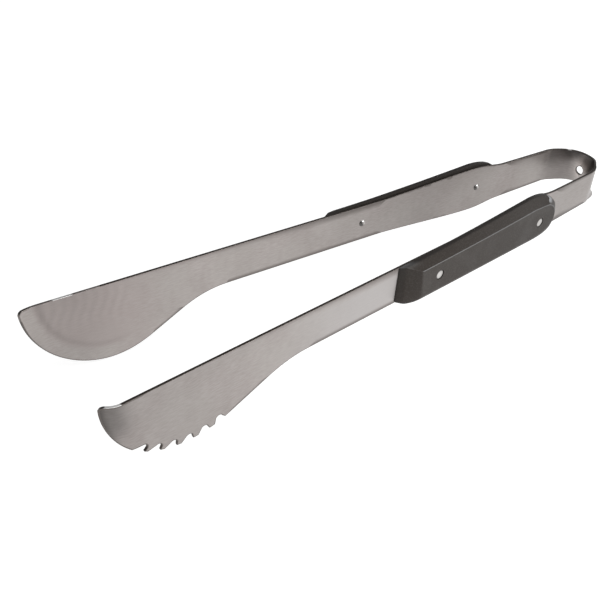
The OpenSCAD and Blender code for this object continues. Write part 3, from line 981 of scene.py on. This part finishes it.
def scaleProfile():
    # Rings from the strip's face to the flat face, with small roundings between wall, bevel and face
    front, wall, ease, thick = (handle[key] for key in ("frontWall", "wall", "wallRound", "thick"))
    rings = [scaleRing(level) for level in (0, front, (front + wall) / 2, wall - ease)]
    for t in (0.25, 0.5, 0.75, 1):
        rings.append(quadratic(scaleRing(wall - ease), scaleRing(wall), scaleRing(wall + ease), t))
    start = thick - handle["faceRound"]
    rings += [scaleRing(level) for level in np.linspace(wall + ease, start, 14)[1:]]
    for t in np.arange(1, roundSteps + 1) / roundSteps:
        rings.append(quadratic(scaleRing(start), scaleRing(thick), scaleRing(thick, 1.0), t))
    return np.array(rings)


def scaleAttributes(rings, points, side):
    # Painted highlights along the upper ridge, beside the rear crease and at the front corner, and painted
    # shade towards the rear and on the upper wall
    levels, count = rings.shape[:2]
    number, level = np.arange(count), rings[:, 0, 1] - halfWall
    ridge = np.zeros(len(points))
    alongRidge = handle["ridgeHighlight"] * ramp(rings[0][:, 2], 0, 6) * np.interp(number, [1, 8], [0, 1])
    ridge[(levels - roundSteps) * count:(levels - 1) * count] = np.tile(alongRidge, roundSteps - 1)
    pastCrease = number - (handle["edgeSteps"] + handle["cornerSteps"] + 6)
    for (byLevel, byPlace), at in ((highlightAtCrease, pastCrease), (highlightAtCorner, number))[:2 if side > 0 else 1]:
        ridge[:levels * count] += np.outer(readOff(byLevel, level), readOff(byPlace, at)).ravel()
    # painted shade on the upper wall beside the strip, and along the handle
    upperWall = (points[:, 2] > 0) * ramp(points[:, 1] - halfWall, 3.6, 2.2)
    tone = readOff(handle["tone"], points[:, 0]) * (1 - handle["wallShade"] * upperWall)
    return {"ridgeHighlight": ridge, "plasticTone": tone}


def handleScale(name, side):
    rings = scaleProfile()
    levels, count = rings.shape[:2]
    rings[..., 1] += halfWall
    around = np.roll(rings, -1, 1) - np.roll(rings, 1, 1)
    sideNormals = unit(np.cross(unit(np.gradient(rings, axis=0)), unit(around)))
    faceY, faceLoop = rings[-1, 0, 1], rings[-1][:, [0, 2]]
    radius, seat = rivet["headRadius"] + rivet["seatClear"], rivet["seat"]
    holes = [arc((place, 0), radius + seat[0][0], 0, 2 * math.pi, 0.55)[:-1] for place in rivetPlaces]
    grid = gridOf(*(np.arange(*span) for span in handle["grid"]))
    grid = grid[inside(grid, faceLoop) & ~nearLoop(grid, faceLoop, handle["gridClear"])]
    for hole in holes:
        grid = grid[~inside(grid, hole) & ~nearLoop(grid, hole, handle["seatGap"])]
    points = [rings.reshape(-1, 3)]
    faces = [quad[:1] + quad[:0:-1] for quad in quads(levels, count)]
    corners = list(sideNormals.reshape(-1, 3)[np.ravel(faces)])
    total = levels * count
    slots = list(range(total - count, total))
    for hole in holes:
        size, centre = len(hole), hole.mean(0)
        turn = unit(hole - centre)
        slots += range(total, total + size)
        points += [raised(centre + turn * (radius + wider), faceY - depth) for wider, depth, _ in seat]
        for quad in quads(len(seat), size, total):
            faces.append(quad)
            for q in quad:
                step, at = divmod(q - total, size)
                tilt = math.radians(seat[step][2])
                inwards = -turn[at] * math.cos(tilt)
                corners.append((inwards[0], math.sin(tilt), inwards[1]))
        total += len(seat) * size
    points = np.concatenate(points + [raised(grid, faceY)])
    slots += range(total, total + len(grid))
    top = [[slots[i] for i in t][::-1] for t in filled([faceLoop] + holes, grid)]
    base = filled([rings[0][:, [0, 2]]])
    corners = np.array(corners + [(0, 1, 0)] * 3 * len(top) + [(0, -1, 0)] * 3 * len(base))
    normals = toWorld(corners, side) - toWorld(np.zeros(3), side)
    return buildSmooth(name, toWorld(points, side), faces + top + base, normals,
                       scaleAttributes(rings, points, side), plastic)


nearGrip = handleScale("nearHandleScale", 1)
farGrip = handleScale("farHandleScale", -1)
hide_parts("near_handle_scale")
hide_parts("far_handle_scale")
for grip, body in ((nearGrip, "near_arm"), (farGrip, "far_arm")):
    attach(grip, body)
print("handle scales seated")


def rivetProfile():
    # Radius, height and painted shade of the turned rivet, from the head's middle to the tail's
    head = handle["thick"] - rivet["sink"] + strip["wall"]
    low = head - rivet["headThick"]
    r, edge, shank = rivet["headRadius"], rivet["headRound"], rivet["shankRadius"]
    points = [(r * share, head - dip, dark) for share, dip, dark in rivet["headFace"]]
    for a in np.radians((0, 30, 60, 90)):
        points.append((r - edge + edge * math.sin(a), head - edge + edge * math.cos(a), 1))
    points += [(r, low, 1), (shank, low, 1), (shank, 0, 1)]
    tail, height, steps = rivet["tailRadius"], rivet["tailHeight"], rivet["tailSteps"]
    dome = (tail ** 2 + height ** 2) / (2 * height)
    sweep = math.asin(tail / dome)
    for a in sweep * np.linspace(1, 0, steps + 1):
        points.append((dome * math.sin(a), dome - height - dome * math.cos(a), 1))
    return points


def turnedRivet(name, place, side):
    profile, segments = rivetProfile(), rivet["segments"]
    turns = 2 * math.pi * np.arange(segments) / segments
    points = [(place + r * math.cos(a), height - halfWall, r * math.sin(a))
              for r, height, _ in profile for a in turns]
    faces = quads(len(profile), segments)
    for first, last in zip(faces[:segments], faces[-segments:]):
        first.pop()  # triangles round the middle of the head, and of the tail
        last.pop(2)
    shadedSide = 1.6 * np.cos(turns - rivet["darkTurn"]) / rivet["tailRadius"]
    shade = np.concatenate([np.full(segments, dark) if height > 0 else smooth(0.45 + shadedSide * r)
                            for r, height, dark in profile])
    piece = buildMesh(name, toWorld(np.array(points), side), faces, {"rimShade": shade}, rivetMetal)
    if side < 0:
        piece.data.flip_normals()
    piece.data.set_sharp_from_angle(angle=math.radians(40))
    return piece


for armName, side in (("near", 1), ("far", -1)):
    for label, place in zip(("rear", "front"), rivetPlaces):
        piece = turnedRivet(armName + label.capitalize() + "Rivet", place, side)
        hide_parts(armName + "_" + label + "_rivet")
        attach(piece, armName + "_arm")
print("rivets set")


studio = {  # the floor's size and the lamps' places and sizes are in metres
    "floorGap": 0.2,
    "floorSize": 12.0,
    "floorColour": (0.42, 0.42, 0.42, 1),
    "floorLift": 0.84,
    "dimSide": 0.13,
    "brightSide": 0.75,
    "toBright": (0.75, -0.55, -0.35),
    "keySoftBox": {"place": (0.55, -1.15, 0.30), "size": (0.8, 0.5), "power": 16},
    "topSoftBox": {"place": (-0.3, -0.3, 1.4), "size": (1.2, 1.2), "power": 7},
}

view = {
    "azimuth": math.radians(-40.8808),
    "elevation": math.radians(36.166),
    "roll": math.radians(4.5974),
    "target": (-271.04, -14.23, 0.5),
    "distance": 503.53,
    "lens": 54.05,
}


def makeFloor():
    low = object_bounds()[0].z - studio["floorGap"] * mm
    size = studio["floorSize"]
    mesh = bpy.data.meshes.new("studioFloor")
    corners = [(x * size, y * size, low) for x, y in ((-1, -1), (1, -1), (1, 1), (-1, 1))]
    mesh.from_pydata(corners, [], [(0, 1, 2, 3)])
    floor = placed("studioFloor", mesh)
    material, tree, shader = newMaterial("paleFloor")
    # It glows for rays from the camera, mirrors and glass, and throws no light on the object
    path = addNode(tree, "ShaderNodeLightPath").outputs
    seen = maths(tree, "MAXIMUM", path["Is Camera Ray"], path["Is Glossy Ray"])
    seen = maths(tree, "MAXIMUM", seen, path["Is Transmission Ray"])
    setInputs(tree, shader, Base_Color=studio["floorColour"], Roughness=0.9, Specular_IOR_Level=0.0,
              Emission_Color=(1, 1, 1, 1), Emission_Strength=times(tree, seen, studio["floorLift"]))
    mesh.materials.append(material)
    floor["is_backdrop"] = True


def makeWorld():
    # A plain studio, paler low down at the front right and dimmer overhead
    world = bpy.data.worlds.new("studioWorld")
    bpy.context.scene.world = world
    world.use_nodes = True
    tree = world.node_tree
    way = addNode(tree, "ShaderNodeTexCoord").outputs["Generated"]
    facing = vectorMaths(tree, "DOT_PRODUCT", way, Vector(studio["toBright"]).normalized())["Value"]
    setInputs(tree, tree.nodes["Background"], Color=(1, 1, 1, 1),
              Strength=ranged(tree, facing, -0.9, 0.9, studio["dimSide"], studio["brightSide"]))


def softBox(name, aim):
    look = studio[name]
    light = bpy.data.lights.new(name, "AREA")
    light.shape = "RECTANGLE"
    light.size, light.size_y = look["size"]
    light.energy = look["power"]
    lamp = placed(name, light)
    lamp.location = look["place"]
    lamp.rotation_euler = (Vector(aim) - Vector(look["place"])).to_track_quat("-Z", "Y").to_euler()


def makeCamera():
    data = bpy.data.cameras.new("studioCamera")
    data.lens = view["lens"]
    data.clip_start, data.clip_end = 0.01, 50
    camera = placed("studioCamera", data)
    camera.matrix_world = (Matrix.Translation(Vector(view["target"]) * mm)
                           @ Matrix.Rotation(view["azimuth"], 4, "Z")
                           @ Matrix.Rotation(math.pi / 2 - view["elevation"], 4, "X")
                           @ Matrix.Rotation(view["roll"], 4, "Z")
                           @ Matrix.Translation((0, 0, view["distance"] * mm)))
    bpy.context.scene.camera = camera


makeFloor()
makeWorld()
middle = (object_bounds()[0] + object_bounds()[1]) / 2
softBox("keySoftBox", middle)
softBox("topSoftBox", middle)
makeCamera()
bpy.context.scene.view_settings.view_transform = "Standard"
print("studio ready")
